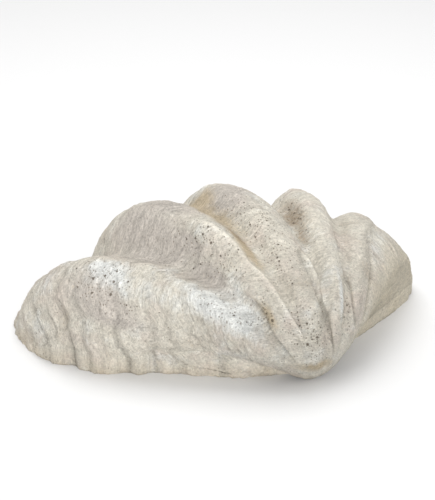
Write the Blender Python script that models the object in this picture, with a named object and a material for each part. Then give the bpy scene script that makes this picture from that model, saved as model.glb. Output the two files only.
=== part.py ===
"""One valve of a giant clam, lying on its open side, in metres with +Z up.

The shell grew by adding stages to its scalloped edge. Each earlier stage is a smaller copy of that edge,
turned back about the hinge axis, so every fold runs as a spiral from the beak to the edge. The same rule
makes the outside and the lining of the hollow here. The rim is worn flat where it stands on the floor.
"""
import bmesh
import bpy
import numpy as np

# Driving dimensions
BEAK_X = 0.0745            # the beak on the hinge axis, from the middle of the shell
BEAK_Y = -0.1875
HINGE_HEIGHT = 0.016       # hinge axis above the floor
EDGE_RATE = 0.21           # shrinking per radian of turn, next to the edge
MAIN_RATE = 0.81           # shrinking per radian of turn, from MAIN_TURN to the beak
MAIN_TURN = 55.0           # degrees of turn back from the edge
LAST_TURN = 205.0          # degrees of turn at which the beak meets the floor
STEP_FADE = 0.02           # growth halts fade out over this distance from the hinge axis
SWELL_FADE = 0.08          # and swellings over this distance
WORN_FROM = 95.0           # degrees of turn past which the old folds are worn down, and where it ends
WORN_TO = 160.0
WORN_SHARE = 0.75          # share of a fold's depth that is gone at the beak
WORN_WIDTH = 1.3           # places along the edge over which it is evened out
FOLD_ROUNDNESS = 2.2       # exponent of a fold's arch: 2 is a parabola
FOOT_DROP = 0.028          # how far the foot of the shell beside the hinge bellies down to the floor
FOOT_LEFT = 1.9            # places along the edge at which that foot ends on the left and the right
FOOT_RIGHT = 18.4
GROOVE_ROUNDING = 0.14     # share of a half fold over which the bottom of a groove is rounded
CREST_LIMIT = 0.25         # a crest stays this share of its fold away from either groove

# The shell's edge, left to right round the open side, seen from above: distance right of the beak,
# distance behind the hinge axis, and rise of the edge. A fold has its foot in the groove each side.
HINGE_LEFT = (-0.045, 0.000, 0.000)
LEFT_SIDE = ((-0.135, 0.015, 0.005), (-0.255, 0.075, 0.010))
GROOVES = ((-0.335, 0.100, 0.015), (-0.430, 0.200, 0.005), (-0.315, 0.330, -0.020), (-0.140, 0.390, 0.020),
           (0.040, 0.370, -0.010), (0.170, 0.330, -0.005), (0.270, 0.305, -0.005), (0.275, 0.165, 0.015))
CRESTS = ((-0.415, 0.170, 0.025), (-0.435, 0.355, -0.030), (-0.250, 0.440, 0.020), (-0.070, 0.440, 0.055),
          (0.110, 0.420, 0.015), (0.208, 0.318, 0.040), (0.305, 0.200, 0.010))
RIGHT_SIDE = ((0.240, 0.135, 0.015), (0.105, 0.060, 0.005))
HINGE_RIGHT = (0.020, 0.000, 0.000)

# Growth halts: degrees of turn, depth of the step, and how far the younger shell stays low, in degrees.
HALTS = ((35.0, 0.0060, 8.0), (41.0, 0.0035, 6.0), (53.0, 0.0055, 8.0), (62.0, 0.0035, 6.0),
         (67.0, 0.0030, 5.0), (75.0, 0.0040, 7.0), (83.0, 0.0035, 6.0), (95.0, 0.0030, 6.0),
         (108.0, 0.0025, 6.0), (14.0, 0.0030, 6.0), (24.0, 0.0030, 6.0))
HALT_SOFTNESS = 0.8        # degrees of turn over which a step falls
FLANK_FROM = 8.0           # places along the edge between which steps grow from slight to full height
FLANK_TO = 6.5
SLIGHT_STEP = 0.3          # share of their height that steps have on the folds to the right of that
LAG_STATION = 6.3          # left of this place along the edge, growth stages slant down to the floor
LAG = 14.2                 # degrees of turn by which they lag at the edge, for each place further left
LAG_END = 81.0             # degrees of turn back from the edge at which that slant ends

# Swellings and dents of the outside: place along the edge, counting one for each groove, crest or corner
# from the left; degrees of turn; reach along the edge; reach in degrees; height.
SWELLS = ((2.9, 62.0, 1.6, 38.0, 0.012), (18.4, 66.0, 1.1, 20.0, 0.012),
          (8.1, 62.0, 0.55, 8.0, 0.026), (7.4, 47.0, 0.50, 10.0, -0.012))

# The underside
HOLLOW_MIDDLE = (-0.080, 0.220)  # middle of the open side, from the beak
HOLLOW_TURN = 118.0            # degrees of turn at which the hollow ends under the beak
HOLLOW_BLUNTNESS = 3.2         # higher keeps the hollow wide for longer
RIM_WIDTH = 0.024              # width of the rim at the folds
HINGE_PLATE = 0.062            # width of the thick plate along the hinge
PLATE_X = -0.060               # its middle, from the beak, and its reach along and behind the hinge axis
PLATE_REACH = 0.220
PLATE_DEPTH = 0.085
RIM_DROP = 0.003               # worn away where the rim stands on the floor
RIM_LIFT = 0.30                # share of a fold's rise by which its rim stands clear of the floor
BACK_START = 0.25              # distance behind the hinge axis at which the rim starts to follow the folds
BACK_FADE = 0.10
HOLLOW_WAYS = 180              # directions in which the lining is measured from its middle
GROOVE_REACH = 6               # directions each side over which the lining keeps clear of a groove
FLUTE_FADE = 2.5               # directions over which the lining's flutes are rounded

STEPS_PER_SIDE = 9             # points from a groove to a crest
TURN_STEPS = 64
TURN_SPACING = 1.15            # above 1 sets the stages closer together near the edge
HOLLOW_STEPS = 12
TRIANGLES = 9400

SHELL_COLOUR = (0.60, 0.56, 0.49, 1.0)


def clear_scene():
    for item in list(bpy.data.objects):
        bpy.data.objects.remove(item, do_unlink=True)


def run_between(start, end, steps):
    """Even points from start up to, but not at, end."""
    share = np.linspace(0.0, 1.0, steps, endpoint=False)
    return start + np.outer(share, end - start)


def fold_arch(left, crest, right, steps):
    """One rounded fold standing between its two grooves."""
    chord = right - left
    middle = float(np.dot((crest - left)[:2], chord[:2]) / np.dot(chord[:2], chord[:2]))
    middle = min(max(middle, CREST_LIMIT), 1.0 - CREST_LIMIT)
    share = np.linspace(0.0, 1.0, 2 * steps, endpoint=False)
    away = np.where(share < middle, (middle - share) / middle, (share - middle) / (1.0 - middle))
    height = 1.0 - away ** FOLD_ROUNDNESS
    lean = crest - (left + chord * middle)
    return left + np.outer(share, chord) + np.outer(height, lean)


def soften(points, reach):
    """Round off the bottoms of the grooves by averaging each point with its neighbours."""
    half = int(4 * reach)
    weight = np.exp(-0.5 * (np.arange(-half, half + 1) / reach) ** 2)
    weight /= weight.sum()
    before = 2 * points[0] - points[half:0:-1]
    after = 2 * points[-1] - points[-2:-half - 2:-1]
    padded = np.concatenate([before, points, after])
    return np.stack([np.convolve(padded[:, axis], weight, "valid") for axis in range(3)], axis=-1)


def soften_ring(values, reach):
    """Average each value of a closed ring with its neighbours."""
    offset = np.arange(len(values))
    offset = np.minimum(offset, len(values) - offset)
    weight = np.exp(-0.5 * (offset / reach) ** 2)
    weight /= weight.sum()
    return np.real(np.fft.ifft(np.fft.fft(values) * np.fft.fft(weight)))


def smallest_near(values, reach):
    """Smallest value of a closed ring within this many places of each place."""
    return np.min([np.roll(values, shift) for shift in range(-reach, reach + 1)], axis=0)


def shell_edge(steps):
    """Points round the edge, from the hinge on the left to the hinge on the right."""
    grooves = np.array(GROOVES)
    crests = np.array(CRESTS)
    sides = [np.array(HINGE_LEFT)] + [np.array(corner) for corner in LEFT_SIDE] + [grooves[0]]
    runs = [run_between(start, end, steps) for start, end in zip(sides, sides[1:])]
    for left, crest, right in zip(grooves, crests, grooves[1:]):
        runs.append(fold_arch(left, crest, right, steps))
    sides = [grooves[-1]] + [np.array(corner) for corner in RIGHT_SIDE] + [np.array(HINGE_RIGHT)]
    runs += [run_between(start, end, steps) for start, end in zip(sides, sides[1:])]
    runs.append(sides[-1][None, :])
    edge = soften(np.concatenate(runs), steps * GROOVE_ROUNDING)
    edge[:, 1] = np.maximum(edge[:, 1], 0.0)
    return edge


def growth_scale(turn):
    """Size of the growth stage at this turn back from the edge, in radians."""
    main_turn = np.radians(MAIN_TURN)
    share = np.clip(turn / main_turn, 0.0, 1.0)
    first = EDGE_RATE * np.minimum(turn, main_turn)
    second = (MAIN_RATE - EDGE_RATE) * main_turn * (share ** 3 - 0.5 * share ** 4)
    return np.exp(-(first + second + MAIN_RATE * np.maximum(turn - main_turn, 0.0)))


def growth_surface(edge, turn):
    """Rows of turn and columns along the edge. The edge may differ from one stage to the next."""
    scale = growth_scale(turn)[:, None]
    cosine, sine = np.cos(turn)[:, None], np.sin(turn)[:, None]
    across = scale * edge[..., 0]
    behind = scale * (edge[..., 1] * cosine - edge[..., 2] * sine)
    above = HINGE_HEIGHT + scale * (edge[..., 1] * sine + edge[..., 2] * cosine)
    return np.stack([across, behind, above], axis=-1)


def worn_edges(edge, turn, steps):
    """The edge at each stage: near the beak the folds are worn down towards an even line."""
    even = soften(edge, steps * WORN_WIDTH)
    worn = WORN_SHARE * np.clip((np.degrees(turn) - WORN_FROM) / (WORN_TO - WORN_FROM), 0.0, 1.0)
    return edge[None] + (even - edge)[None] * worn[:, None, None]


def foot_drop(place, turn):
    """How far each point sinks so that the foot of the shell beside the hinge meets the floor."""
    beside = np.clip((FOOT_LEFT - place) / FOOT_LEFT, 0.0, 1.0)
    beside += np.clip((place - FOOT_RIGHT) / (place[-1] - FOOT_RIGHT), 0.0, 1.0)
    eased = beside * beside * (3.0 - 2.0 * beside)
    return FOOT_DROP * np.minimum(2.0 * growth_scale(turn), 1.0)[:, None] ** 2 * eased[None, :]


def outward(surface):
    """Unit normals of the outside."""
    normal = np.cross(np.gradient(surface, axis=0), np.gradient(surface, axis=1))
    length = np.linalg.norm(normal, axis=-1, keepdims=True)
    return normal / np.maximum(length, 1e-9)


def places_along(columns, steps):
    """Place of each column along the edge, counting one for each groove, crest or corner."""
    return np.arange(columns) / steps


def halt_relief(place, turn):
    """Depth of the steps left where growth stopped and started again."""
    slant = LAG * np.maximum(1.0 - np.degrees(turn) / LAG_END, 0.0)
    degrees = np.degrees(turn)[:, None] + slant[:, None] * np.maximum(LAG_STATION - place, 0.0)[None, :]
    depth = np.zeros_like(degrees)
    for middle, step, reach in HALTS:
        since = np.maximum(middle - degrees, 0.0)
        begun = 1.0 / (1.0 + np.exp((degrees - middle) / HALT_SOFTNESS))
        depth -= step * begun * np.exp(-since / reach)
    flank = np.clip((place - FLANK_FROM) / (FLANK_TO - FLANK_FROM), 0.0, 1.0)
    return depth * (SLIGHT_STEP + (1.0 - SLIGHT_STEP) * flank)[None, :]


def swell_relief(place, turn):
    """Rounded swellings and dents that belong to no one fold."""
    degrees = np.degrees(turn)
    relief = np.zeros((len(turn), len(place)))
    for station, middle, reach, turn_reach, height in SWELLS:
        along = np.exp(-((place - station) / reach) ** 2)
        back = np.exp(-((degrees - middle) / turn_reach) ** 2)
        relief += height * back[:, None] * along[None, :]
    return relief


def outer_surface(edge, turn, steps):
    surface = growth_surface(worn_edges(edge, turn, steps), turn)
    place = places_along(len(edge), steps)
    surface[..., 2] -= foot_drop(place, turn)
    from_hinge = edge[None, :, 1]
    relief = halt_relief(place, turn) * np.clip(from_hinge / STEP_FADE, 0.0, 1.0)
    swells = swell_relief(place, turn) * growth_scale(turn)[:, None]
    relief += swells * np.clip(from_hinge / SWELL_FADE, 0.0, 1.0)
    return surface + outward(surface) * relief[..., None]


def rim_heights(edge):
    """The rim follows the folds at the back, and hangs below the floor where it gets worn flat."""
    at_back = np.clip((edge[:, 1] - BACK_START) / BACK_FADE, 0.0, 1.0)
    return RIM_LIFT * at_back * np.maximum(edge[:, 2], 0.0) - RIM_DROP


def rim_width(points):
    """Narrow at the folds and wide at the hinge."""
    along = np.exp(-((points[:, 0] - PLATE_X) / PLATE_REACH) ** 2)
    behind = np.exp(-(points[:, 1] / PLATE_DEPTH) ** 2)
    return RIM_WIDTH + (HINGE_PLATE - RIM_WIDTH) * along * behind


def hollow_mouth(rim):
    """The inner edge of the rim. It keeps clear of the grooves, so the folds show less inside."""
    away = rim[:, :2] - np.array(HOLLOW_MIDDLE)
    radius = np.linalg.norm(away, axis=1)
    angle = np.arctan2(away[:, 1], away[:, 0])
    order = np.argsort(angle)
    ways = np.linspace(-np.pi, np.pi, HOLLOW_WAYS, endpoint=False)
    reach = np.interp(ways, angle[order], radius[order], period=2 * np.pi)
    reach = soften_ring(smallest_near(reach, GROOVE_REACH), FLUTE_FADE)
    inner = np.interp(angle, ways, reach, period=2 * np.pi) - rim_width(rim)
    mouth = rim.copy()
    mouth[:, :2] = np.array(HOLLOW_MIDDLE) + away * (inner / radius)[:, None]
    return mouth


def hollow_rows(mouth):
    """The lining follows the same growth rule as the outside, and closes in under the beak."""
    middle = np.array(HOLLOW_MIDDLE)
    rows = []
    for share in np.linspace(0.0, 1.0, HOLLOW_STEPS + 1):
        turn = np.radians(HOLLOW_TURN) * share
        width = np.sqrt(1.0 - share ** HOLLOW_BLUNTNESS)
        stage = np.zeros_like(mouth)
        stage[:, :2] = middle + (mouth[:, :2] - middle) * width
        rows.append(growth_surface(stage[None], np.array([turn]))[0])
    return rows[:-1], rows[-1][0]


def add_strip(mesh, lower, upper, closed):
    """Quads between two rows of vertices."""
    count = len(lower) if closed else len(lower) - 1
    for i in range(count):
        j = (i + 1) % len(lower)
        mesh.faces.new((lower[i], lower[j], upper[j], upper[i]))


def shell_mesh():
    """The closed shell: outside, beak, rim, and lining of the hollow."""
    edge = shell_edge(STEPS_PER_SIDE)
    turn = np.radians(LAST_TURN) * np.linspace(0.0, 1.0, TURN_STEPS) ** TURN_SPACING
    surface = outer_surface(edge, turn, STEPS_PER_SIDE)
    mesh = bmesh.new()
    grid = [[mesh.verts.new(point) for point in row] for row in surface]
    for lower, upper in zip(grid, grid[1:]):
        add_strip(mesh, lower, upper, closed=False)
    mesh.faces.new(grid[-1])
    right = [row[-1] for row in grid[1:]]
    left = [row[0] for row in grid[:0:-1]]
    brim = grid[0] + right + left
    rim = np.array([tuple(vertex.co) for vertex in brim])
    heights = np.full(len(rim), -RIM_DROP)
    heights[:len(edge)] = rim_heights(edge)
    rim[:, 2] = np.minimum(heights, rim[:, 2] - RIM_DROP)
    foot = [mesh.verts.new(point) for point in rim]
    add_strip(mesh, foot, brim, closed=True)
    mouth = hollow_mouth(rim)
    rows, top = hollow_rows(mouth)
    below = foot
    for row in [mouth] + rows:
        above = [mesh.verts.new(point) for point in row]
        add_strip(mesh, above, below, closed=True)
        below = above
    peak = mesh.verts.new(top)
    for i, vertex in enumerate(below):
        mesh.faces.new((below[(i + 1) % len(below)], vertex, peak))
    bmesh.ops.translate(mesh, verts=mesh.verts, vec=(BEAK_X, BEAK_Y, 0.0))
    bmesh.ops.triangulate(mesh, faces=mesh.faces)
    bmesh.ops.recalc_face_normals(mesh, faces=mesh.faces)
    return mesh


def shell_material():
    material = bpy.data.materials.new("weathered shell")
    material.use_nodes = True
    shader = material.node_tree.nodes["Principled BSDF"]
    shader.inputs["Base Color"].default_value = SHELL_COLOUR
    shader.inputs["Roughness"].default_value = 0.85
    shader.inputs["Metallic"].default_value = 0.0
    return material


def floor_box():
    """Everything above the floor: what lies outside it is worn away."""
    mesh = bpy.data.meshes.new("above floor")
    shape = bmesh.new()
    bmesh.ops.create_cube(shape, size=2.0)
    bmesh.ops.translate(shape, verts=shape.verts, vec=(0.0, 0.0, 1.0))
    shape.to_mesh(mesh)
    shape.free()
    box = bpy.data.objects.new("above floor", mesh)
    bpy.context.scene.collection.objects.link(box)
    box.hide_render = True
    box.display_type = "WIRE"
    return box


def build_shell():
    mesh = shell_mesh()
    count = len(mesh.faces)
    data = bpy.data.meshes.new("clam_shell")
    mesh.to_mesh(data)
    mesh.free()
    shell = bpy.data.objects.new("clam_shell", data)
    bpy.context.scene.collection.objects.link(shell)
    data.materials.append(shell_material())
    data.shade_smooth()
    thin = shell.modifiers.new("thin out", "DECIMATE")
    thin.ratio = TRIANGLES / count
    worn = shell.modifiers.new("worn flat", "BOOLEAN")
    worn.operation = "INTERSECT"
    worn.solver = "EXACT"
    worn.object = floor_box()
    return shell


clear_scene()
build_shell()
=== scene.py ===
"""One weathered valve of a giant clam, lying on its open side on a pale floor."""
import math

import bmesh
import bpy
import numpy as np
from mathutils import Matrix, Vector


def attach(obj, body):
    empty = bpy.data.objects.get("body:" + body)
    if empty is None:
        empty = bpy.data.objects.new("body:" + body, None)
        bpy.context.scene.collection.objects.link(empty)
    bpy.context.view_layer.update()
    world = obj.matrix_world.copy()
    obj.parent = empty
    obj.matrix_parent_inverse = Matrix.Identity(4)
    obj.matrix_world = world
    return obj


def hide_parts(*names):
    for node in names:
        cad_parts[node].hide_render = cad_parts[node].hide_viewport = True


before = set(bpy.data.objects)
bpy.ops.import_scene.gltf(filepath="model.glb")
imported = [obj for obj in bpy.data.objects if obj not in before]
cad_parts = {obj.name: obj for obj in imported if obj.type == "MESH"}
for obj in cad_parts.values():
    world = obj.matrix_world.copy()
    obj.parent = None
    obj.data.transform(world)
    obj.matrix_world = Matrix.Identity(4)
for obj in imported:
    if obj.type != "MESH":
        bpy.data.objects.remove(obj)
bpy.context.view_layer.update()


# The view of the photograph.
# The camera stands in front and a little to the left, looking down on the shell with a long lens.
VIEW_TURN = math.radians(-20.17)
VIEW_RISE = math.radians(27.50)
VIEW_DISTANCE = 2.626
VIEW_TARGET = Vector((-0.0247, 0.0, 0.1619))
LENS = 106.6

back = Vector((math.sin(VIEW_TURN) * math.cos(VIEW_RISE), -math.cos(VIEW_TURN) * math.cos(VIEW_RISE),
               math.sin(VIEW_RISE)))
camera = bpy.data.objects.new("camera", bpy.data.cameras.new("camera"))
camera.data.lens = LENS
camera.data.sensor_width = 36.0
camera.location = VIEW_TARGET + back * VIEW_DISTANCE
camera.rotation_euler = (-back).to_track_quat("-Z", "Y").to_euler()
bpy.context.scene.collection.objects.link(camera)
bpy.context.scene.camera = camera


# The shell's form.
# The clam added stages to the scalloped edge of its shell as it grew. Each earlier stage is a smaller copy
# of the edge, turned back about the hinge axis, and the outside is made from the edge line in that way.
BEAK_X = 0.0745
BEAK_Y = -0.1875
HINGE_HEIGHT = 0.016
EDGE_RATE = 0.21           # shrinking per radian of turn, next to the edge
MAIN_RATE = 0.81           # and from MAIN_TURN to the beak
MAIN_TURN = math.radians(55.0)
LAST_TURN = math.radians(205.0)
WORN_FROM = math.radians(95.0)   # the old folds are worn down from here back towards the beak
WORN_TO = math.radians(160.0)
WORN_SHARE = 0.75          # share of a fold's depth that is gone there
WORN_WIDTH = 1.3           # places along the edge over which it is evened out
FOOT_DROP = 0.028          # how far the foot of the shell beside the hinge bellies down to the floor
FOOT_LEFT = 1.9            # places along the edge at which that foot ends on the left and the right
FOOT_RIGHT = 18.4
END_FROM = 15.6            # the right end is worn rounder from here, fully so from END_TO on
END_TO = 16.6
END_ROUNDING = 0.30
FOLD_ROUNDNESS = 2.2
GROOVE_ROUNDING = 0.14
CREST_LIMIT = 0.25

# The edge from left to right: distance right of the beak, distance behind the hinge axis, and rise.
HINGE_LEFT = (-0.045, 0.000, 0.000)
LEFT_SIDE = ((-0.135, 0.015, 0.005), (-0.255, 0.075, 0.010))
GROOVES = ((-0.335, 0.100, 0.015), (-0.430, 0.200, 0.005), (-0.315, 0.330, -0.020), (-0.140, 0.390, 0.020),
           (0.040, 0.370, -0.010), (0.170, 0.330, -0.005), (0.270, 0.305, -0.005), (0.275, 0.165, 0.015))
CRESTS = ((-0.415, 0.170, 0.025), (-0.435, 0.355, -0.030), (-0.250, 0.440, 0.020), (-0.070, 0.440, 0.055),
          (0.110, 0.420, 0.015), (0.208, 0.318, 0.040), (0.305, 0.200, 0.010))
RIGHT_SIDE = ((0.240, 0.135, 0.015), (0.105, 0.060, 0.005))
HINGE_RIGHT = (0.020, 0.000, 0.000)

EDGE_POINTS = 30           # points between two places along the edge, before they are spread out
COLUMNS = 330
STAGES = 230
STAGE_SPACING = 0.75       # higher sets the stages closer together near the beak
INDEX_GUARD = 0.001        # keeps a whole number from being rounded down to the one before it


def run_between(start, end):
    share = np.linspace(0.0, 1.0, EDGE_POINTS, endpoint=False)
    return start + np.outer(share, end - start)


def fold_arch(left, crest, right):
    """One rounded fold standing between its two grooves."""
    chord = right - left
    middle = float(np.dot((crest - left)[:2], chord[:2]) / np.dot(chord[:2], chord[:2]))
    middle = min(max(middle, CREST_LIMIT), 1.0 - CREST_LIMIT)
    share = np.linspace(0.0, 1.0, 2 * EDGE_POINTS, endpoint=False)
    away = np.where(share < middle, (middle - share) / middle, (share - middle) / (1.0 - middle))
    lean = crest - (left + chord * middle)
    return left + np.outer(share, chord) + np.outer(1.0 - away ** FOLD_ROUNDNESS, lean)


def soften(points, reach):
    """Round off the bottoms of the grooves by averaging each point with its neighbours."""
    half = int(4 * reach)
    weight = np.exp(-0.5 * (np.arange(-half, half + 1) / reach) ** 2)
    weight /= weight.sum()
    before = 2 * points[0] - points[half:0:-1]
    after = 2 * points[-1] - points[-2:-half - 2:-1]
    padded = np.concatenate([before, points, after])
    return np.stack([np.convolve(padded[:, axis], weight, "valid") for axis in range(3)], axis=-1)


def shell_edge():
    """The edge line evenly spread, an evened copy of it, and each point's place in grooves and crests."""
    grooves = np.array(GROOVES)
    crests = np.array(CRESTS)
    left = [np.array(point) for point in (HINGE_LEFT,) + LEFT_SIDE] + [grooves[0]]
    right = [grooves[-1]] + [np.array(point) for point in RIGHT_SIDE + (HINGE_RIGHT,)]
    runs = [run_between(start, end) for start, end in zip(left, left[1:])]
    runs += [fold_arch(*fold) for fold in zip(grooves, crests, grooves[1:])]
    runs += [run_between(start, end) for start, end in zip(right, right[1:])]
    edge = soften(np.concatenate(runs + [right[-1][None, :]]), EDGE_POINTS * GROOVE_ROUNDING)
    edge[:, 1] = np.maximum(edge[:, 1], 0.0)
    length = np.concatenate([[0.0], np.cumsum(np.linalg.norm(np.diff(edge, axis=0), axis=1))])
    spread = np.linspace(0.0, length[-1], COLUMNS)
    place = np.interp(spread, length, np.arange(len(edge)) / EDGE_POINTS)
    even = soften(edge, EDGE_POINTS * WORN_WIDTH)
    rounder = soften(edge, EDGE_POINTS * END_ROUNDING)
    at_end = np.clip((np.arange(len(edge)) / EDGE_POINTS - END_FROM) / (END_TO - END_FROM), 0.0, 1.0)
    edge = edge + (rounder - edge) * at_end[:, None]
    edge, even = [np.stack([np.interp(spread, length, line[:, axis]) for axis in range(3)], axis=-1)
                  for line in (edge, even)]
    return edge, even, place


def foot_drop(place):
    """How far each column sinks so that the foot of the shell beside the hinge meets the floor."""
    beside = np.clip((FOOT_LEFT - place) / FOOT_LEFT, 0.0, 1.0)
    beside += np.clip((place - FOOT_RIGHT) / (place[-1] - FOOT_RIGHT), 0.0, 1.0)
    return FOOT_DROP * beside * beside * (3.0 - 2.0 * beside)


class Field:
    """A value that changes over a surface. Sums and products of fields add nodes to their tree."""

    def __init__(self, tree, socket):
        self.tree = tree
        self.socket = socket

    def math(self, operation, *others):
        values = (self,) + others
        return add_node(self.tree, "ShaderNodeMath", {"operation": operation}, dict(enumerate(values)))

    def __add__(self, other):
        return self.math("ADD", other)

    def __sub__(self, other):
        return self.math("SUBTRACT", other)

    def __mul__(self, other):
        return self.math("MULTIPLY", other)

    def __truediv__(self, other):
        return self.math("DIVIDE", other)

    def power(self, exponent):
        return self.math("POWER", exponent)

    def above(self, floor):
        return self.math("MAXIMUM", floor)

    def below(self, ceiling):
        return self.math("MINIMUM", ceiling)

    def share(self, start=0.0, end=1.0):
        """Nought at start, one at end, and held there beyond them."""
        return ((self - start) / (end - start)).above(0.0).below(1.0)

    def exp(self):
        return self.math("EXPONENT")


def feed(tree, socket, value):
    if isinstance(value, Field):
        tree.links.new(value.socket, socket)
    else:
        socket.default_value = value


def add_node(tree, kind, settings=None, inputs=None, output=0):
    """One node with its settings and inputs, given back as the field that it puts out."""
    node = tree.nodes.new(kind)
    for name, value in (settings or {}).items():
        setattr(node, name, value)
    for name, value in (inputs or {}).items():
        feed(tree, node.inputs[name], value)
    return Field(tree, node.outputs[output])


def start_tree(name, kind, inputs, outputs):
    """A node tree with named inputs and outputs, and a way to read its inputs."""
    tree = bpy.data.node_groups.new(name, kind)
    for label, socket_type in inputs:
        tree.interface.new_socket(label, in_out="INPUT", socket_type=socket_type)
    for label, socket_type in outputs:
        tree.interface.new_socket(label, in_out="OUTPUT", socket_type=socket_type)
    given = tree.nodes.new("NodeGroupInput")
    fields = {label: Field(tree, given.outputs[label]) for label, _ in inputs}
    return tree, fields


def end_tree(tree, results):
    put_out = tree.nodes.new("NodeGroupOutput")
    for label, value in results.items():
        feed(tree, put_out.inputs[label], value)


def attribute(tree, name):
    return add_node(tree, "GeometryNodeInputNamedAttribute", {"data_type": "FLOAT"}, {"Name": name})


def store(tree, geometry, name, value):
    return add_node(tree, "GeometryNodeStoreNamedAttribute", {"data_type": "FLOAT", "domain": "POINT"},
                    {"Geometry": geometry, "Name": name, "Value": value})


def split(tree, vector):
    """The three coordinates of a vector."""
    node = tree.nodes.new("ShaderNodeSeparateXYZ")
    feed(tree, node.inputs[0], vector)
    return [Field(tree, socket) for socket in node.outputs]


def join(tree, x, y, z):
    return add_node(tree, "ShaderNodeCombineXYZ", None, {0: x, 1: y, 2: z})


NUMBER = "NodeSocketFloat"
GROWTH_INPUTS = (("Geometry", "NodeSocketGeometry"), ("Stages", "NodeSocketInt"), ("Last Turn", NUMBER),
                 ("Spacing", NUMBER), ("Edge Rate", NUMBER), ("Main Rate", NUMBER), ("Main Turn", NUMBER),
                 ("Hinge Height", NUMBER), ("Closing", NUMBER), ("Bluntness", NUMBER),
                 ("Middle", "NodeSocketVector"), ("Worn From", NUMBER), ("Worn To", NUMBER),
                 ("Worn Share", NUMBER))


def growth_tree():
    """Turns an edge line into a surface: one column for each point, one row for each growth stage."""
    tree, given = start_tree("grow from the edge", "GeometryNodeTree", GROWTH_INPUTS,
                             (("Geometry", "NodeSocketGeometry"),))
    columns = add_node(tree, "GeometryNodeAttributeDomainSize", {"component": "MESH"},
                       {"Geometry": given["Geometry"]})
    grid = add_node(tree, "GeometryNodeMeshGrid", None,
                    {"Vertices X": columns, "Vertices Y": given["Stages"]})
    index = add_node(tree, "GeometryNodeInputIndex")
    column = (index / given["Stages"] + INDEX_GUARD).math("FLOOR")
    row = index - column * given["Stages"]
    share = row / (given["Stages"] - 1.0)

    def from_line(value, data_type="FLOAT"):
        return add_node(tree, "GeometryNodeSampleIndex", {"data_type": data_type},
                        {"Geometry": given["Geometry"], "Value": value, "Index": column})

    point = from_line(add_node(tree, "GeometryNodeInputPosition"), "FLOAT_VECTOR")
    even = from_line(add_node(tree, "GeometryNodeInputNamedAttribute", {"data_type": "FLOAT_VECTOR"},
                              {"Name": "even"}), "FLOAT_VECTOR")
    place = from_line(attribute(tree, "place"))
    drop = from_line(attribute(tree, "foot_drop"))
    spacing = given["Spacing"]
    last = (given["Last Turn"] * spacing * -1.0).exp()
    turn = ((share * (last - 1.0) + 1.0).math("LOGARITHM", math.e) / spacing) * -1.0
    main_turn = given["Main Turn"]
    eased = (turn / main_turn).share()
    first = given["Edge Rate"] * turn.below(main_turn)
    faster = (given["Main Rate"] - given["Edge Rate"]) * main_turn
    second = faster * (eased.power(3.0) - eased.power(4.0) * 0.5)
    third = given["Main Rate"] * (turn - main_turn).above(0.0)
    size = ((first + second + third) * -1.0).exp()
    back_share = turn / given["Last Turn"]
    width = (given["Closing"] * back_share.power(given["Bluntness"]) * -1.0 + 1.0).above(0.0).power(0.5)
    worn = (turn - given["Worn From"]) / (given["Worn To"] - given["Worn From"])
    worn = worn.above(0.0).below(1.0) * given["Worn Share"]
    x, y, z = [sharp + (dull - sharp) * worn for sharp, dull in zip(split(tree, point), split(tree, even))]
    middle_x, middle_y, _ = split(tree, given["Middle"])
    across = (middle_x + (x - middle_x) * width) * size
    behind = (middle_y + (y - middle_y) * width) * size
    rise = z * size
    cosine, sine = turn.math("COSINE"), turn.math("SINE")
    sunk = (size * 2.0).below(1.0).power(2.0) * drop
    place_at = join(tree, across, behind * cosine - rise * sine,
                    given["Hinge Height"] + behind * sine + rise * cosine - sunk)
    moved = add_node(tree, "GeometryNodeSetPosition", None, {"Geometry": grid, "Position": place_at})
    for name, value in (("place", place), ("turn", turn.math("DEGREES")), ("stage_size", size),
                        ("from_hinge", y)):
        moved = store(tree, moved, name, value)
    end_tree(tree, {"Geometry": moved})
    return tree


def apply_tree(piece, tree, settings):
    """Run a tree on a piece with these input values, and give back the plain mesh that it makes."""
    modifier = piece.modifiers.new(tree.name, "NODES")
    modifier.node_group = tree
    names = {item.name: item.identifier for item in tree.interface.items_tree if item.in_out == "INPUT"}
    for name, value in settings.items():
        modifier[names[name]] = value
    graph = bpy.context.evaluated_depsgraph_get()
    made = bpy.data.meshes.new_from_object(piece.evaluated_get(graph), depsgraph=graph)
    piece.modifiers.remove(modifier)
    return made


def line_object(name, points, even, place, drop):
    """Loose points with their evened position, their place along the edge and their drop at the foot."""
    mesh = bpy.data.meshes.new(name)
    mesh.from_pydata([tuple(point) for point in points], [], [])
    mesh.attributes.new("even", "FLOAT_VECTOR", "POINT").data.foreach_set("vector", even.ravel())
    mesh.attributes.new("place", "FLOAT", "POINT").data.foreach_set("value", place)
    mesh.attributes.new("foot_drop", "FLOAT", "POINT").data.foreach_set("value", drop)
    line = bpy.data.objects.new(name, mesh)
    bpy.context.scene.collection.objects.link(line)
    return line


def read_grid(mesh, rows):
    """Positions and attributes of a grown surface, by column and row."""
    position = np.empty(len(mesh.vertices) * 3)
    mesh.vertices.foreach_get("co", position)
    values = {}
    for name in ("place", "turn", "stage_size", "from_hinge"):
        values[name] = np.empty(len(mesh.vertices))
        mesh.attributes[name].data.foreach_get("value", values[name])
        values[name] = values[name].reshape(-1, rows)
    return position.reshape(-1, rows, 3), values


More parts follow.
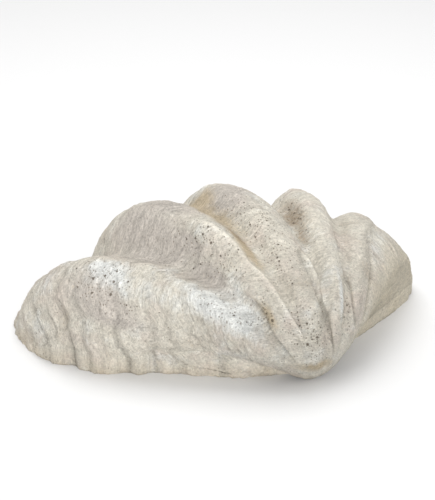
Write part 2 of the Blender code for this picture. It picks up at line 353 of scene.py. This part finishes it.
edge, even_edge, edge_place = shell_edge()
growth = growth_tree()
edge_line = line_object("edge line", edge, even_edge, edge_place, foot_drop(edge_place))
outside_mesh = apply_tree(edge_line, growth, {
    "Stages": STAGES, "Last Turn": LAST_TURN, "Spacing": STAGE_SPACING, "Edge Rate": EDGE_RATE,
    "Main Rate": MAIN_RATE, "Main Turn": MAIN_TURN, "Hinge Height": HINGE_HEIGHT, "Closing": 0.0,
    "Bluntness": 1.0, "Worn From": WORN_FROM, "Worn To": WORN_TO, "Worn Share": WORN_SHARE})
outside, outside_values = read_grid(outside_mesh, STAGES)


# The underside.
# The rim stands on the floor and is worn flat there. The hollow keeps clear of the grooves and closes in
# under the beak, and the thick plate along the hinge is left in front of it.
HOLLOW_MIDDLE = (-0.080, 0.220)
HOLLOW_TURN = math.radians(118.0)
HOLLOW_BLUNTNESS = 3.2
RIM_WIDTH = 0.024
HINGE_PLATE = 0.062
PLATE_X = -0.060
PLATE_REACH = 0.220
PLATE_DEPTH = 0.085
RIM_DROP = 0.003
FOOT_DEPTH = 0.012         # below the floor, so that the worn foot is still cut off flat
RIM_LIFT = 0.30
BACK_START = 0.25
BACK_FADE = 0.10
HOLLOW_WAYS = 180
GROOVE_REACH = 6
FLUTE_FADE = 2.5
HOLLOW_STAGES = 17
HOLLOW_SPACING = 0.02
SKIRT_ROWS = 6


def rim_heights(points):
    """The rim follows the folds at the back, and hangs below the floor where it gets worn flat."""
    at_back = np.clip((points[:, 1] - BACK_START) / BACK_FADE, 0.0, 1.0)
    return RIM_LIFT * at_back * np.maximum(points[:, 2], 0.0) - RIM_DROP - FOOT_DEPTH * (1.0 - at_back)


def rim_width(points):
    """Narrow at the folds and wide at the hinge."""
    along = np.exp(-((points[:, 0] - PLATE_X) / PLATE_REACH) ** 2)
    behind = np.exp(-(points[:, 1] / PLATE_DEPTH) ** 2)
    return RIM_WIDTH + (HINGE_PLATE - RIM_WIDTH) * along * behind


def smallest_near(values, reach):
    return np.min([np.roll(values, shift) for shift in range(-reach, reach + 1)], axis=0)


def soften_ring(values, reach):
    offset = np.arange(len(values))
    offset = np.minimum(offset, len(values) - offset)
    weight = np.exp(-0.5 * (offset / reach) ** 2)
    return np.real(np.fft.ifft(np.fft.fft(values) * np.fft.fft(weight / weight.sum())))


def hollow_mouth(rim):
    """The inner edge of the rim. It keeps clear of the grooves, so the folds show less inside."""
    away = rim[:, :2] - np.array(HOLLOW_MIDDLE)
    radius = np.linalg.norm(away, axis=1)
    angle = np.arctan2(away[:, 1], away[:, 0])
    order = np.argsort(angle)
    ways = np.linspace(-np.pi, np.pi, HOLLOW_WAYS, endpoint=False)
    reach = np.interp(ways, angle[order], radius[order], period=2 * np.pi)
    reach = soften_ring(smallest_near(reach, GROOVE_REACH), FLUTE_FADE)
    inner = np.interp(angle, ways, reach, period=2 * np.pi) - rim_width(rim)
    mouth = np.zeros_like(rim)
    mouth[:, :2] = np.array(HOLLOW_MIDDLE) + away * (inner / radius)[:, None]
    return mouth


def ring_of(grid):
    """Values round the brim: along the edge, up the hinge on the right, and back down on the left."""
    return np.concatenate([grid[:, 0], grid[-1, 1:], grid[0, :0:-1]])


brim = ring_of(outside)
brim_values = {name: ring_of(values) for name, values in outside_values.items()}
foot = brim.copy()
foot[:, 2] = -RIM_DROP - FOOT_DEPTH
foot[:COLUMNS, 2] = rim_heights(edge)
foot[:, 2] = np.minimum(foot[:, 2], brim[:, 2] - RIM_DROP)
mouth = hollow_mouth(foot)
mouth_line = line_object("mouth line", mouth, mouth, brim_values["place"], np.zeros(len(mouth)))
lining_mesh = apply_tree(mouth_line, growth, {
    "Stages": HOLLOW_STAGES, "Last Turn": HOLLOW_TURN, "Spacing": HOLLOW_SPACING,
    "Edge Rate": EDGE_RATE, "Main Rate": MAIN_RATE, "Main Turn": MAIN_TURN,
    "Hinge Height": HINGE_HEIGHT, "Closing": 1.0,
    "Bluntness": HOLLOW_BLUNTNESS, "Middle": HOLLOW_MIDDLE + (0.0,), "Worn From": WORN_FROM,
    "Worn To": WORN_TO, "Worn Share": 0.0})
lining, _ = read_grid(lining_mesh, HOLLOW_STAGES)
for line in (edge_line, mouth_line):
    bpy.data.objects.remove(line, do_unlink=True)


class ShellMesh:
    """Gathers the points, faces and surface values of the whole shell."""

    def __init__(self):
        self.points = []
        self.faces = []
        self.values = {"place": [], "turn": [], "stage_size": [], "from_hinge": [], "outer": []}

    def add_points(self, points, values, outer):
        first = len(self.points)
        self.points.extend(points)
        for name, kept in self.values.items():
            if name != "outer":
                kept.extend(values[name])
        self.values["outer"].extend([outer] * len(points))
        return np.arange(first, len(self.points))

    def add_strip(self, lower, upper, closed=True):
        following = np.roll(np.arange(len(lower)), -1)
        last = len(lower) if closed else len(lower) - 1
        for i, j in list(enumerate(following))[:last]:
            self.faces.append((lower[i], lower[j], upper[j], upper[i]))


shell_mesh = ShellMesh()
columns = []
for i in range(COLUMNS):
    column_values = {name: values[i] for name, values in outside_values.items()}
    columns.append(shell_mesh.add_points(outside[i], column_values, 1.0))
columns = np.array(columns)
for stage in range(STAGES - 1):
    shell_mesh.add_strip(columns[:, stage], columns[:, stage + 1], closed=False)
shell_mesh.faces.append(tuple(columns[:, -1]))
above = ring_of(columns)
for step in range(1, SKIRT_ROWS + 1):
    down = step / SKIRT_ROWS
    row = shell_mesh.add_points(brim + (foot - brim) * down, brim_values, 1.0)
    shell_mesh.add_strip(row, above)
    above = row
rim_edge = mouth.copy()
rim_edge[:, 2] = foot[:, 2]
row = shell_mesh.add_points(rim_edge, brim_values, 0.0)
shell_mesh.add_strip(row, above)
above = row
for stage in range(HOLLOW_STAGES - 1):
    row = shell_mesh.add_points(lining[:, stage], brim_values, 0.0)
    shell_mesh.add_strip(row, above)
    above = row
top_values = {name: values[:1] for name, values in brim_values.items()}
top = shell_mesh.add_points(lining[:1, -1], top_values, 0.0)[0]
for i, j in enumerate(np.roll(np.arange(len(above)), -1)):
    shell_mesh.faces.append((above[j], above[i], top))

plain = bpy.data.meshes.new("clam_valve")
place_at = np.array(shell_mesh.points) + np.array([BEAK_X, BEAK_Y, 0.0])
plain.from_pydata(place_at.tolist(), [], [tuple(int(i) for i in face) for face in shell_mesh.faces])
for name, values in shell_mesh.values.items():
    plain.attributes.new(name, "FLOAT", "POINT").data.foreach_set("value", np.array(values, np.float32))
valve = bpy.data.objects.new("clam_valve", plain)
bpy.context.scene.collection.objects.link(valve)


# The weathered surface.
# Growth stopped now and then and left steps that follow the edge. Finer growth lines run between them,
# and sea, sand and boring animals have since pitted the chalky outside and crumbled its foot.
LAG_PLACE = 6.3            # left of this place the growth stages slant down to the floor
LAG = 14.2                 # degrees of turn for each place further left, at the edge
LAG_END = 81.0             # degrees of turn back from the edge at which that slant ends
DRIFT = 4.0                # degrees by which the stages wander from an even line
STEP_FADE = 0.02           # metres from the hinge over which the steps begin
SWELL_FADE = 0.08          # and the swellings
FLANK_FROM = 8.0           # the steps are slight right of here, and full left of FLANK_TO
FLANK_TO = 6.5
SLIGHT_STEP = 0.2
LOW_FROM = 0.13            # they are higher near the floor, most of all below LOW_TO
LOW_TO = 0.04
END_WEAR_FROM = 15.2       # the right end is smoother and darker from here, fully so from END_WEAR_TO
END_WEAR_TO = 16.6
CRUMBLE_HEIGHT = 0.050     # the foot is crumbled up to this height
BEAK_FROM = 110.0          # and so is the beak, from here back and fully so from BEAK_TO
BEAK_TO = 150.0

# Growth halts: degrees of growth back from the edge, height of the step, and degrees over which it fades.
HALT_SOFTNESS = 0.6
HALTS = ((35.0, 0.0100, 8.0), (41.0, 0.0060, 6.0), (53.0, 0.0090, 8.0), (62.0, 0.0060, 6.0),
         (67.0, 0.0055, 5.0), (75.0, 0.0070, 7.0), (83.0, 0.0060, 6.0), (95.0, 0.0050, 6.0),
         (108.0, 0.0045, 6.0), (14.0, 0.0028, 6.0), (24.0, 0.0030, 6.0))
PLATE_SPACING = 6.0        # degrees between the lips of the thin plates that overlap on the flank
PLATE_PLACE = 7.5          # they begin left of here

# Swellings and dents, then pits: place, degrees of turn, reach along the edge, reach in degrees, height.
SWELLINGS = ((2.9, 62.0, 1.6, 38.0, 0.012), (18.4, 66.0, 1.1, 20.0, 0.012), (8.1, 63.0, 0.55, 8.0, 0.022),
             (7.40, 46.0, 0.50, 10.0, -0.010), (7.90, 60.0, 0.30, 6.5, 0.018))
PITS = ((7.57, 60.0, 0.10, 1.5, -0.010), (7.74, 72.0, 0.07, 1.2, -0.008), (6.86, 67.0, 0.22, 1.4, -0.009),
        (6.65, 75.0, 0.10, 1.4, -0.006), (5.15, 33.0, 0.12, 1.4, -0.006))

# Thin ribs and creases beside the folds: place and degrees of turn along each, from the edge backwards.
RIBLET_WIDTH = 0.11
RIBLET_LEAD = 4.0
RIBLET_FADE = 6.0
RIBLETS = (((8.00, 55.0), (8.16, 62.0), (8.28, 70.0), (8.29, 78.0), (8.41, 82.0), (8.52, 89.0),
            (8.55, 97.0), (8.62, 106.0), (8.81, 114.0), (9.01, 122.0)),
           ((10.33, 69.0), (10.66, 74.0), (10.75, 78.0), (10.97, 89.0), (11.08, 100.0)))
CREASES = (((10.50, 70.0), (10.54, 78.0), (10.69, 91.0), (11.02, 104.0), (11.28, 122.0), (12.00, 140.0)),
           ((12.73, 46.0), (12.75, 60.0), (12.80, 73.0), (13.17, 82.0), (13.43, 90.0), (14.01, 101.0),
            (15.10, 117.0)),
           ((14.53, 50.0), (14.93, 62.0), (15.24, 70.0), (15.37, 81.0), (15.61, 95.0), (15.96, 105.0)),
           ((7.30, 85.0), (7.45, 96.0), (7.20, 110.0), (7.28, 126.0), (7.63, 142.0)),
           ((5.01, 98.0), (4.60, 105.0), (3.80, 113.0)))
MOST_PLACE = 20.0
MOST_TURN = 205.0

# Roughly how many bumps to a metre, from broad to fine.
PATCH_SCALE = 9.0
LUMP_SCALE = 24.0
CRUMB_SCALE = 58.0
HOLE_SCALE = 58.0
GRAIN_SCALE = 95.0


def halt_tree():
    """The step left by one growth halt: it falls sharply and then fades towards the younger side."""
    tree, given = start_tree("growth halt", "GeometryNodeTree",
                             [(name, NUMBER) for name in ("Growth", "At", "Step", "Reach")],
                             [("Height", NUMBER)])
    begun = (((given["Growth"] - given["At"]) / HALT_SOFTNESS).exp() + 1.0).power(-1.0)
    since = (given["At"] - given["Growth"]).above(0.0)
    end_tree(tree, {"Height": begun * given["Step"] * (since / given["Reach"] * -1.0).exp() * -1.0})
    return tree


def swelling_tree():
    """One rounded swelling, dent or pit."""
    tree, given = start_tree("swelling", "GeometryNodeTree",
                             [(name, NUMBER) for name in ("Place", "Turn", "At Place", "At Turn", "Reach",
                                                          "Turn Reach", "Height")], [("Height", NUMBER)])
    along = (given["Place"] - given["At Place"]) / given["Reach"]
    back = (given["Turn"] - given["At Turn"]) / given["Turn Reach"]
    end_tree(tree, {"Height": ((along * along + back * back) * -1.0).exp() * given["Height"]})
    return tree


def riblet(tree, place, turn, line):
    """A thin rounded rib that runs back along a line of places and turns."""
    node = tree.nodes.new("ShaderNodeFloatCurve")
    curve = node.mapping.curves[0]
    curve.points[0].location = (0.0, line[0][0] / MOST_PLACE)
    curve.points[1].location = (1.0, line[-1][0] / MOST_PLACE)
    for at_place, at_turn in line:
        curve.points.new(at_turn / MOST_TURN, at_place / MOST_PLACE)
    node.mapping.update()
    feed(tree, node.inputs["Value"], turn / MOST_TURN)
    away = (place - Field(tree, node.outputs[0]) * MOST_PLACE) / RIBLET_WIDTH
    first, last = line[0][1], line[-1][1]
    begun = turn.share(first - RIBLET_LEAD, first + RIBLET_FADE)
    ended = turn.share(last + RIBLET_FADE, last - RIBLET_FADE)
    return (away * away * -1.0).exp() * begun * ended


def noise(tree, vector, scale, detail, roughness=0.55):
    """Noise between minus one and one."""
    made = add_node(tree, "ShaderNodeTexNoise", {"noise_dimensions": "3D"},
                    {"Vector": vector, "Scale": scale, "Detail": detail, "Roughness": roughness})
    return made * 2.0 - 1.0


def cells(tree, vector, scale):
    """Scattered cells: how far each point is from its cell's middle, and a chance value for the cell."""
    node = tree.nodes.new("ShaderNodeTexVoronoi")
    feed(tree, node.inputs["Vector"], vector)
    node.inputs["Scale"].default_value = scale
    return Field(tree, node.outputs["Distance"]), split(tree, Field(tree, node.outputs["Color"]))[0]


def growth_steps(tree, growth_age):
    """The steps of all the growth halts."""
    halt = halt_tree()
    steps = growth_age * 0.0
    for at, step, reach in HALTS:
        steps = steps + add_node(tree, "GeometryNodeGroup", {"node_tree": halt},
                                 {"Growth": growth_age, "At": at, "Step": step, "Reach": reach})
    return steps


def all_swellings(tree, place, turn, size):
    """All the swellings, dents and pits, smaller where the stage was smaller."""
    swelling = swelling_tree()
    swells = turn * 0.0
    for at_place, at_turn, reach, turn_reach, height in SWELLINGS + PITS:
        swell = add_node(tree, "GeometryNodeGroup", {"node_tree": swelling},
                         {"Place": place, "Turn": turn, "At Place": at_place, "At Turn": at_turn,
                          "Reach": reach, "Turn Reach": turn_reach, "Height": height})
        swells = swells + swell * size
    return swells


def added_riblets(tree, place, turn, lines):
    total = turn * 0.0
    for line in lines:
        total = total + riblet(tree, place, turn, line)
    return total


WEATHER_INPUTS = (("Geometry", "NodeSocketGeometry"), ("Line Height", NUMBER), ("Lump Height", NUMBER),
                  ("Grain Height", NUMBER), ("Pit Depth", NUMBER), ("Crumble Depth", NUMBER),
                  ("Riblet Height", NUMBER), ("Crease Depth", NUMBER), ("Plate Height", NUMBER),
                  ("Material", "NodeSocketMaterial"))


def weather_tree():
    """Raises and wears the outside of the shell."""
    tree, given = start_tree("weather the shell", "GeometryNodeTree", WEATHER_INPUTS,
                             (("Geometry", "NodeSocketGeometry"),))
    place, turn = attribute(tree, "place"), attribute(tree, "turn")
    size, outer = attribute(tree, "stage_size"), attribute(tree, "outer")
    from_hinge = attribute(tree, "from_hinge")
    position = add_node(tree, "GeometryNodeInputPosition")
    from_floor = split(tree, position)[2]
    lag = (turn / -LAG_END + 1.0).above(0.0) * LAG
    even_age = turn + (place * -1.0 + LAG_PLACE).above(0.0) * lag
    drift = noise(tree, join(tree, place * 0.9, even_age * 0.06, 0.0), 1.0, 3.0) * DRIFT
    growth_age = even_age + drift

    # The larger forms.
    flank = place.share(FLANK_FROM, FLANK_TO) * (1.0 - SLIGHT_STEP) + SLIGHT_STEP
    steps = growth_steps(tree, growth_age) * flank * (from_floor.share(LOW_FROM, LOW_TO) * 0.8 + 0.65)
    swells = all_swellings(tree, place, turn, size)
    raised = added_riblets(tree, place, turn, RIBLETS)
    sunk = added_riblets(tree, place, turn, CREASES)
    ribs = raised * given["Riblet Height"] - sunk * given["Crease Depth"]
    form = steps * from_hinge.share(0.0, STEP_FADE) + swells * from_hinge.share(0.0, SWELL_FADE) + ribs

    # Growth lines, the lips of thin plates, lumps, grain, small holes and crumbs.
    lines = noise(tree, join(tree, place * 0.8, growth_age * 0.30, 7.0), 1.0, 3.0, 0.7)
    lip = (growth_age / PLATE_SPACING).math("FRACT") * -1.0 + 1.0
    here_and_there = noise(tree, join(tree, place * 1.5, growth_age * 0.12, 3.0), 1.0, 2.0).share(-0.3, 0.5)
    plates = lip * lip * here_and_there * (place * -1.0 + PLATE_PLACE).share(0.0, 2.5)
    patchy = noise(tree, position, PATCH_SCALE, 1.0).share(-0.6, 0.5) * 0.8 + 0.2
    lumps = noise(tree, position, LUMP_SCALE, 2.0)
    grain = noise(tree, position, GRAIN_SCALE, 3.0, 0.65)
    from_middle, chance = cells(tree, position, HOLE_SCALE)
    holes = from_middle.share(0.42, 0.12) * chance.share(0.62, 0.66)
    crumbly = from_floor.share(CRUMBLE_HEIGHT, 0.0) * (place.share(END_WEAR_FROM, END_WEAR_TO) * -0.8 + 1.0)
    crumbly = crumbly + turn.share(BEAK_FROM, BEAK_TO) * 0.5
    crumbs = (noise(tree, position, CRUMB_SCALE, 3.0, 0.7) + 0.1) * crumbly
    fine = (lines * given["Line Height"] * patchy + lumps * given["Lump Height"]
            + grain * given["Grain Height"] - holes * given["Pit Depth"]
            - crumbs * given["Crumble Depth"] + plates * given["Plate Height"])

    push = (form + fine * (size + 0.15).below(1.0)) * outer
    offset = add_node(tree, "ShaderNodeVectorMath", {"operation": "SCALE"},
                      {0: add_node(tree, "GeometryNodeInputNormal"), "Scale": push})
    moved = add_node(tree, "GeometryNodeSetPosition", None,
                     {"Geometry": given["Geometry"], "Offset": offset})
    moved = store(tree, moved, "growth_age", growth_age)
    moved = store(tree, moved, "rib", raised - sunk)
    solid = add_node(tree, "GeometryNodeRealizeInstances", None, {"Geometry": moved})
    end_tree(tree, {"Geometry": add_node(tree, "GeometryNodeSetMaterial", None,
                                         {"Geometry": solid, "Material": given["Material"]})})
    return tree


# Linear colours: chalky white and cream where the surface is worn, tan to brown where grime settled.
CREAM = (0.655, 0.620, 0.540, 1.0)
CHALK = (0.745, 0.750, 0.722, 1.0)
GREY_BEIGE = (0.520, 0.480, 0.410, 1.0)
PINK_BEIGE = (0.590, 0.520, 0.455, 1.0)
GREY_PINK = (0.540, 0.495, 0.445, 1.0)
OCHRE = (0.485, 0.400, 0.275, 1.0)
BROWN = (0.300, 0.225, 0.150, 1.0)
OLIVE = (0.560, 0.505, 0.395, 1.0)
PIT_BROWN = (0.160, 0.130, 0.095, 1.0)

# Where colour gathers: place, degrees of turn, reach along the edge and reach in degrees.
WHITE_PATCHES = ((6.4, 90.0, 0.9, 20.0), (5.9, 46.0, 0.5, 7.0), (12.4, 98.0, 0.3, 10.0))
# The grey patches are partly the shell's grey-pink tint and partly painted shade on the concave flank of
# fold 2.
GREY_TINT_AND_SHADE_PATCHES = ((7.2, 48.0, 0.5, 13.0), (7.5, 38.0, 0.5, 12.0), (8.2, 40.0, 0.5, 9.0),
                (7.1, 70.0, 0.3, 10.0), (7.45, 57.0, 0.25, 7.0), (4.9, 40.0, 1.0, 10.0),
                (9.4, 40.0, 0.7, 9.0))
TAN_STAINS = ((9.1, 31.0, 0.3, 8.0), (8.9, 45.0, 0.25, 16.0), (8.7, 66.0, 0.22, 12.0),
              (7.6, 101.0, 0.32, 9.0), (9.8, 150.0, 2.5, 8.0))
BROWN_STAINS = ((11.12, 49.0, 0.32, 11.0), (11.1, 60.0, 0.24, 8.0), (8.75, 60.0, 0.20, 9.0))
PIT_GROUPS = ((7.7, 68.0, 0.7, 14.0), (5.7, 45.0, 0.7, 9.0), (7.6, 101.0, 0.5, 9.0),
              (11.1, 50.0, 0.4, 16.0), (6.5, 92.0, 0.6, 16.0), (12.9, 108.0, 0.5, 14.0),
              (9.5, 62.0, 0.6, 20.0), (9.8, 120.0, 1.5, 20.0))

# Roughly how many spots of each kind to a metre, from broad to fine.
CLOUD_SCALE = 7.0
BLOTCH_SCALE = 18.0
ROSE_SCALE = 21.0
ROSE_SHIFT = (3.1, 1.7, 0.4)       # keeps the rose tint apart from the other patterns
WOBBLE_SCALE = 30.0
DARK_PIT_SCALE = 110.0
SPECKLE_SCALE = 210.0
PRICK_SCALE = 230.0
FLECK_SCALE = 330.0

# How much each thing lightens or darkens the colour, and how dark the whole is.
LINE_SHADE = 0.42
FINE_LINE_SHADE = 0.45
SPECKLE_SHADE = 0.38
FLECK_SHADE = 0.30
BLOTCH_SHADE = 0.20
# Painted highlight on the raised riblets, and painted shade in the sunk creases.
RIBLET_PAINTED_HIGHLIGHT = 0.22
CREASE_PAINTED_SHADE = 0.18
# Painted shade in the grey patches.
GREY_PAINTED_SHADE = 0.08
# Painted shade on the upright foot of the right end.
END_FOOT_PAINTED_SHADE = 0.13
WHOLE_SHADE = 0.95
STEP_PAINTED_SHADE = 40.0         # painted shade below the steps, for each metre of a growth step's height
STEP_SHADE_OFFSET = 0.7         # the painted shade lies this many degrees in front of the step
STEP_SHADE_WIDTH = 0.8
DUST_HEIGHT = 0.035        # tan dust lies on the foot up to here
BUMP_DEPTH = 0.0018
ROUGHNESS = 0.9
SHINE = 0.2


def surface_value(tree, name):
    node = tree.nodes.new("ShaderNodeAttribute")
    node.attribute_name = name
    return Field(tree, node.outputs["Fac"])


def blend(tree, under, over, share):
    """One colour over another, by a share from nought to one."""
    return add_node(tree, "ShaderNodeMix", {"data_type": "RGBA"}, {0: share, 6: under, 7: over}, 2)


def gathered(tree, place, turn, spots):
    """How much of a colour or of the pits gathers in these spots."""
    total = None
    for at_place, at_turn, reach, turn_reach in spots:
        along = (place - at_place) / reach
        back = (turn - at_turn) / turn_reach
        spot = ((along * along + back * back) * -1.0).exp()
        total = spot if total is None else total.above(spot)
    return total


def dark_spots(tree, position, scale, crowd, spread, largest, edge):
    """Round dark spots in the cells whose chance value lies in the crowd's share."""
    distance, chance = cells(tree, position, scale)
    size = (chance - (crowd * -1.0 + 1.0)).share(0.0, spread) * largest
    return ((distance - size) * -1.0).share(*edge)


def painted_step_shade(age, lines, place):
    """Painted shade in the corner below each growth step."""
    step_shade = None
    for at, step, _ in HALTS:
        line = (age - (at - STEP_SHADE_OFFSET)) / STEP_SHADE_WIDTH
        line = (line * line * -1.0).exp() * (step * STEP_PAINTED_SHADE)
        step_shade = line if step_shade is None else step_shade + line
    return step_shade * (lines + 0.6).share() * (place.share(FLANK_FROM, FLANK_TO) * 0.7 + 0.15)


def shell_material():
    material = bpy.data.materials.new("weathered shell")
    material.use_nodes = True
    tree = material.node_tree
    coordinates = tree.nodes.new("ShaderNodeTexCoord")
    position = Field(tree, coordinates.outputs["Object"])
    height = split(tree, position)[2]
    place, turn = surface_value(tree, "place"), surface_value(tree, "turn")
    age, outer = surface_value(tree, "growth_age"), surface_value(tree, "outer")
    rib = surface_value(tree, "rib")

    blotches = noise(tree, position, BLOTCH_SCALE, 4.0, 0.62)
    clouds = noise(tree, position, CLOUD_SCALE, 2.0)
    shifted = add_node(tree, "ShaderNodeVectorMath", {"operation": "ADD"}, {0: position, 1: ROSE_SHIFT})
    rosy = noise(tree, shifted, ROSE_SCALE, 3.0)
    speckle = noise(tree, position, SPECKLE_SCALE, 3.0, 0.7)
    flecks = noise(tree, position, FLECK_SCALE, 2.0, 0.6)
    waved_age = age + noise(tree, position, WOBBLE_SCALE, 2.0) * 1.2
    lines = noise(tree, join(tree, place * 1.6, waved_age * 0.9, 0.0), 1.0, 4.0, 0.75)
    fine_lines = noise(tree, join(tree, place * 5.0, waved_age * 2.6, 5.0), 1.0, 3.0, 0.7)

    # The ground colours, then the patches and stains, then the dust of the foot and the darker right end.
    colour = blend(tree, CREAM, GREY_BEIGE, (blotches * 2.2 + clouds * 0.9).share(-0.35, 0.9))
    colour = blend(tree, colour, PINK_BEIGE, (rosy * 2.0).share(-0.1, 0.9) * 0.8)
    white = gathered(tree, place, turn, WHITE_PATCHES)
    colour = blend(tree, colour, CHALK, (white * 1.1 + blotches * -1.2 + lines * 0.5).share(0.15, 0.85))
    # Grey-pink tint, with painted shade on the concave flank of fold 2.
    grey_tint_and_shade = gathered(tree, place, turn, GREY_TINT_AND_SHADE_PATCHES)
    colour = blend(tree, colour, GREY_PINK, (grey_tint_and_shade * 1.3 + blotches * 0.5).share(0.1, 0.9) * 0.9)
    tan = gathered(tree, place, turn, TAN_STAINS)
    stained = (tan * 1.1 + blotches * 0.7 + speckle * 0.3).share(0.20, 0.9)
    colour = blend(tree, colour, OCHRE, stained * 0.85)
    brown = gathered(tree, place, turn, BROWN_STAINS)
    colour = blend(tree, colour, BROWN, (brown + blotches * 0.6 + speckle * 0.8).share(0.30, 1.1) * 0.8)
    right_end = place.share(END_WEAR_FROM, END_WEAR_TO)
    dusty = height.share(DUST_HEIGHT, 0.0) * (blotches + 0.9).share(0.0, 1.4) * (right_end * -1.0 + 1.0)
    colour = blend(tree, colour, OCHRE, dusty * 0.55)
    colour = blend(tree, colour, OLIVE, right_end * (lines * 0.6 + 0.75).share())

    # Light and dark: growth lines, specks and blotches, a painted highlight on the riblets, and painted
    # shade in the creases, below the steps, in the grey patches and on the foot of the right end.
    off_floor = height.share(0.005, 0.040)
    # Painted shade on the upright foot of the right end, to match the shaded overhang above it.
    end_foot_shade = right_end * height.share(0.036, 0.026) * END_FOOT_PAINTED_SHADE
    # Painted shade in the corner below each growth step, stronger near the floor.
    step_shade = painted_step_shade(age, lines, place) * (height.share(LOW_FROM, LOW_TO) * 1.2 + 0.6)
    # The riblets get a painted highlight, and the creases get painted shade.
    shade = ((lines * LINE_SHADE + fine_lines * FINE_LINE_SHADE) * off_floor + speckle * SPECKLE_SHADE
             + flecks * FLECK_SHADE + blotches * BLOTCH_SHADE + rib.above(0.0) * RIBLET_PAINTED_HIGHLIGHT
             + rib.below(0.0) * CREASE_PAINTED_SHADE - grey_tint_and_shade * GREY_PAINTED_SHADE - end_foot_shade - step_shade + WHOLE_SHADE)
    colour = add_node(tree, "ShaderNodeVectorMath", {"operation": "SCALE"}, {0: colour, "Scale": shade})

    # Dark pits of two sizes, which crowd together in groups.
    crowd = gathered(tree, place, turn, PIT_GROUPS) * 0.50 + (clouds * 0.25 + 0.20)
    pits = dark_spots(tree, position, DARK_PIT_SCALE, crowd, 0.6, 0.30, (-0.03, 0.05))
    pricks = dark_spots(tree, position, PRICK_SCALE, crowd * 1.1, 0.3, 0.36, (-0.05, 0.10))
    colour = blend(tree, colour, PIT_BROWN, pits.above(pricks * 0.8) * outer * 0.85)

    bump = tree.nodes.new("ShaderNodeBump")
    bump.inputs["Strength"].default_value = 1.0
    bump.inputs["Distance"].default_value = BUMP_DEPTH
    relief = lines + fine_lines * 0.7 + speckle * 0.5 + blotches * 0.6 - pits * 2.5
    feed(tree, bump.inputs["Height"], relief)
    shader = tree.nodes["Principled BSDF"]
    feed(tree, shader.inputs["Base Color"], colour)
    feed(tree, shader.inputs["Normal"], Field(tree, bump.outputs["Normal"]))
    shader.inputs["Roughness"].default_value = ROUGHNESS
    shader.inputs["Specular IOR Level"].default_value = SHINE
    return material


shaped = bmesh.new()
shaped.from_mesh(plain)
bmesh.ops.recalc_face_normals(shaped, faces=shaped.faces)
shaped.to_mesh(plain)
shaped.free()
weathered = apply_tree(valve, weather_tree(), {
    "Line Height": 0.0036, "Lump Height": 0.0040, "Grain Height": 0.0022, "Pit Depth": 0.0030,
    "Crumble Depth": 0.0080, "Riblet Height": 0.0080, "Crease Depth": 0.0060, "Plate Height": 0.0060,
    "Material": shell_material()})

# Everything below the floor is worn away, and the cut is closed by the flat rim that the shell stands on.
CUT_TOLERANCE = 1e-7

shaped = bmesh.new()
shaped.from_mesh(weathered)
everything = list(shaped.verts) + list(shaped.edges) + list(shaped.faces)
bmesh.ops.bisect_plane(shaped, geom=everything, dist=CUT_TOLERANCE, plane_co=(0.0, 0.0, 0.0),
                       plane_no=(0.0, 0.0, -1.0), clear_outer=True)
rim_loops = [edge for edge in shaped.edges if edge.is_boundary]
bmesh.ops.triangle_fill(shaped, edges=rim_loops, use_beauty=False, use_dissolve=False,
                        normal=(0.0, 0.0, -1.0))
bmesh.ops.recalc_face_normals(shaped, faces=shaped.faces)
valve.data.clear_geometry()
shaped.to_mesh(weathered)
shaped.free()
valve.data = weathered
weathered.shade_smooth()
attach(valve, "root")
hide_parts("clam_shell")


# The floor and the light.
# A plain white sheet of card under soft light from large lamps above and in front, as in a photo studio.
FLOOR_SIZE = 12.0
CARD_WHITE = (0.78, 0.78, 0.78, 1.0)
CARD_ROUGHNESS = 0.9
LAMP_SIZE = 2.0
OVERHEAD_PLACE = (0.15, 0.6, 2.5)
OVERHEAD_POWER = 37.5
FRONT_PLACE = (-0.7, -3.0, 0.5)
FRONT_AIM = (0.0, 0.0, 0.1)
FRONT_POWER = 62.0
ROOM_LIGHT = 0.83

floor_mesh = bpy.data.meshes.new("floor")
half = FLOOR_SIZE / 2
floor_mesh.from_pydata([(-half, -half, 0.0), (half, -half, 0.0), (half, half, 0.0), (-half, half, 0.0)], [],
                       [(0, 1, 2, 3)])
floor = bpy.data.objects.new("floor", floor_mesh)
bpy.context.scene.collection.objects.link(floor)
card = bpy.data.materials.new("white card")
card.use_nodes = True
card.node_tree.nodes["Principled BSDF"].inputs["Base Color"].default_value = CARD_WHITE
card.node_tree.nodes["Principled BSDF"].inputs["Roughness"].default_value = CARD_ROUGHNESS
floor_mesh.materials.append(card)


def soft_lamp(name, place, aim, power):
    lamp = bpy.data.lights.new(name, "AREA")
    lamp.size = LAMP_SIZE
    lamp.energy = power
    holder = bpy.data.objects.new(name, lamp)
    holder.location = place
    holder.rotation_euler = (Vector(aim) - Vector(place)).to_track_quat("-Z", "Y").to_euler()
    bpy.context.scene.collection.objects.link(holder)


soft_lamp("overhead", OVERHEAD_PLACE, (0.0, 0.0, 0.0), OVERHEAD_POWER)
soft_lamp("front", FRONT_PLACE, FRONT_AIM, FRONT_POWER)

world = bpy.data.worlds.new("white room")
bpy.context.scene.world = world
world.use_nodes = True
world.node_tree.nodes["Background"].inputs["Color"].default_value = (1.0, 1.0, 1.0, 1.0)
world.node_tree.nodes["Background"].inputs["Strength"].default_value = ROOM_LIGHT
bpy.context.scene.view_settings.view_transform = "Standard"
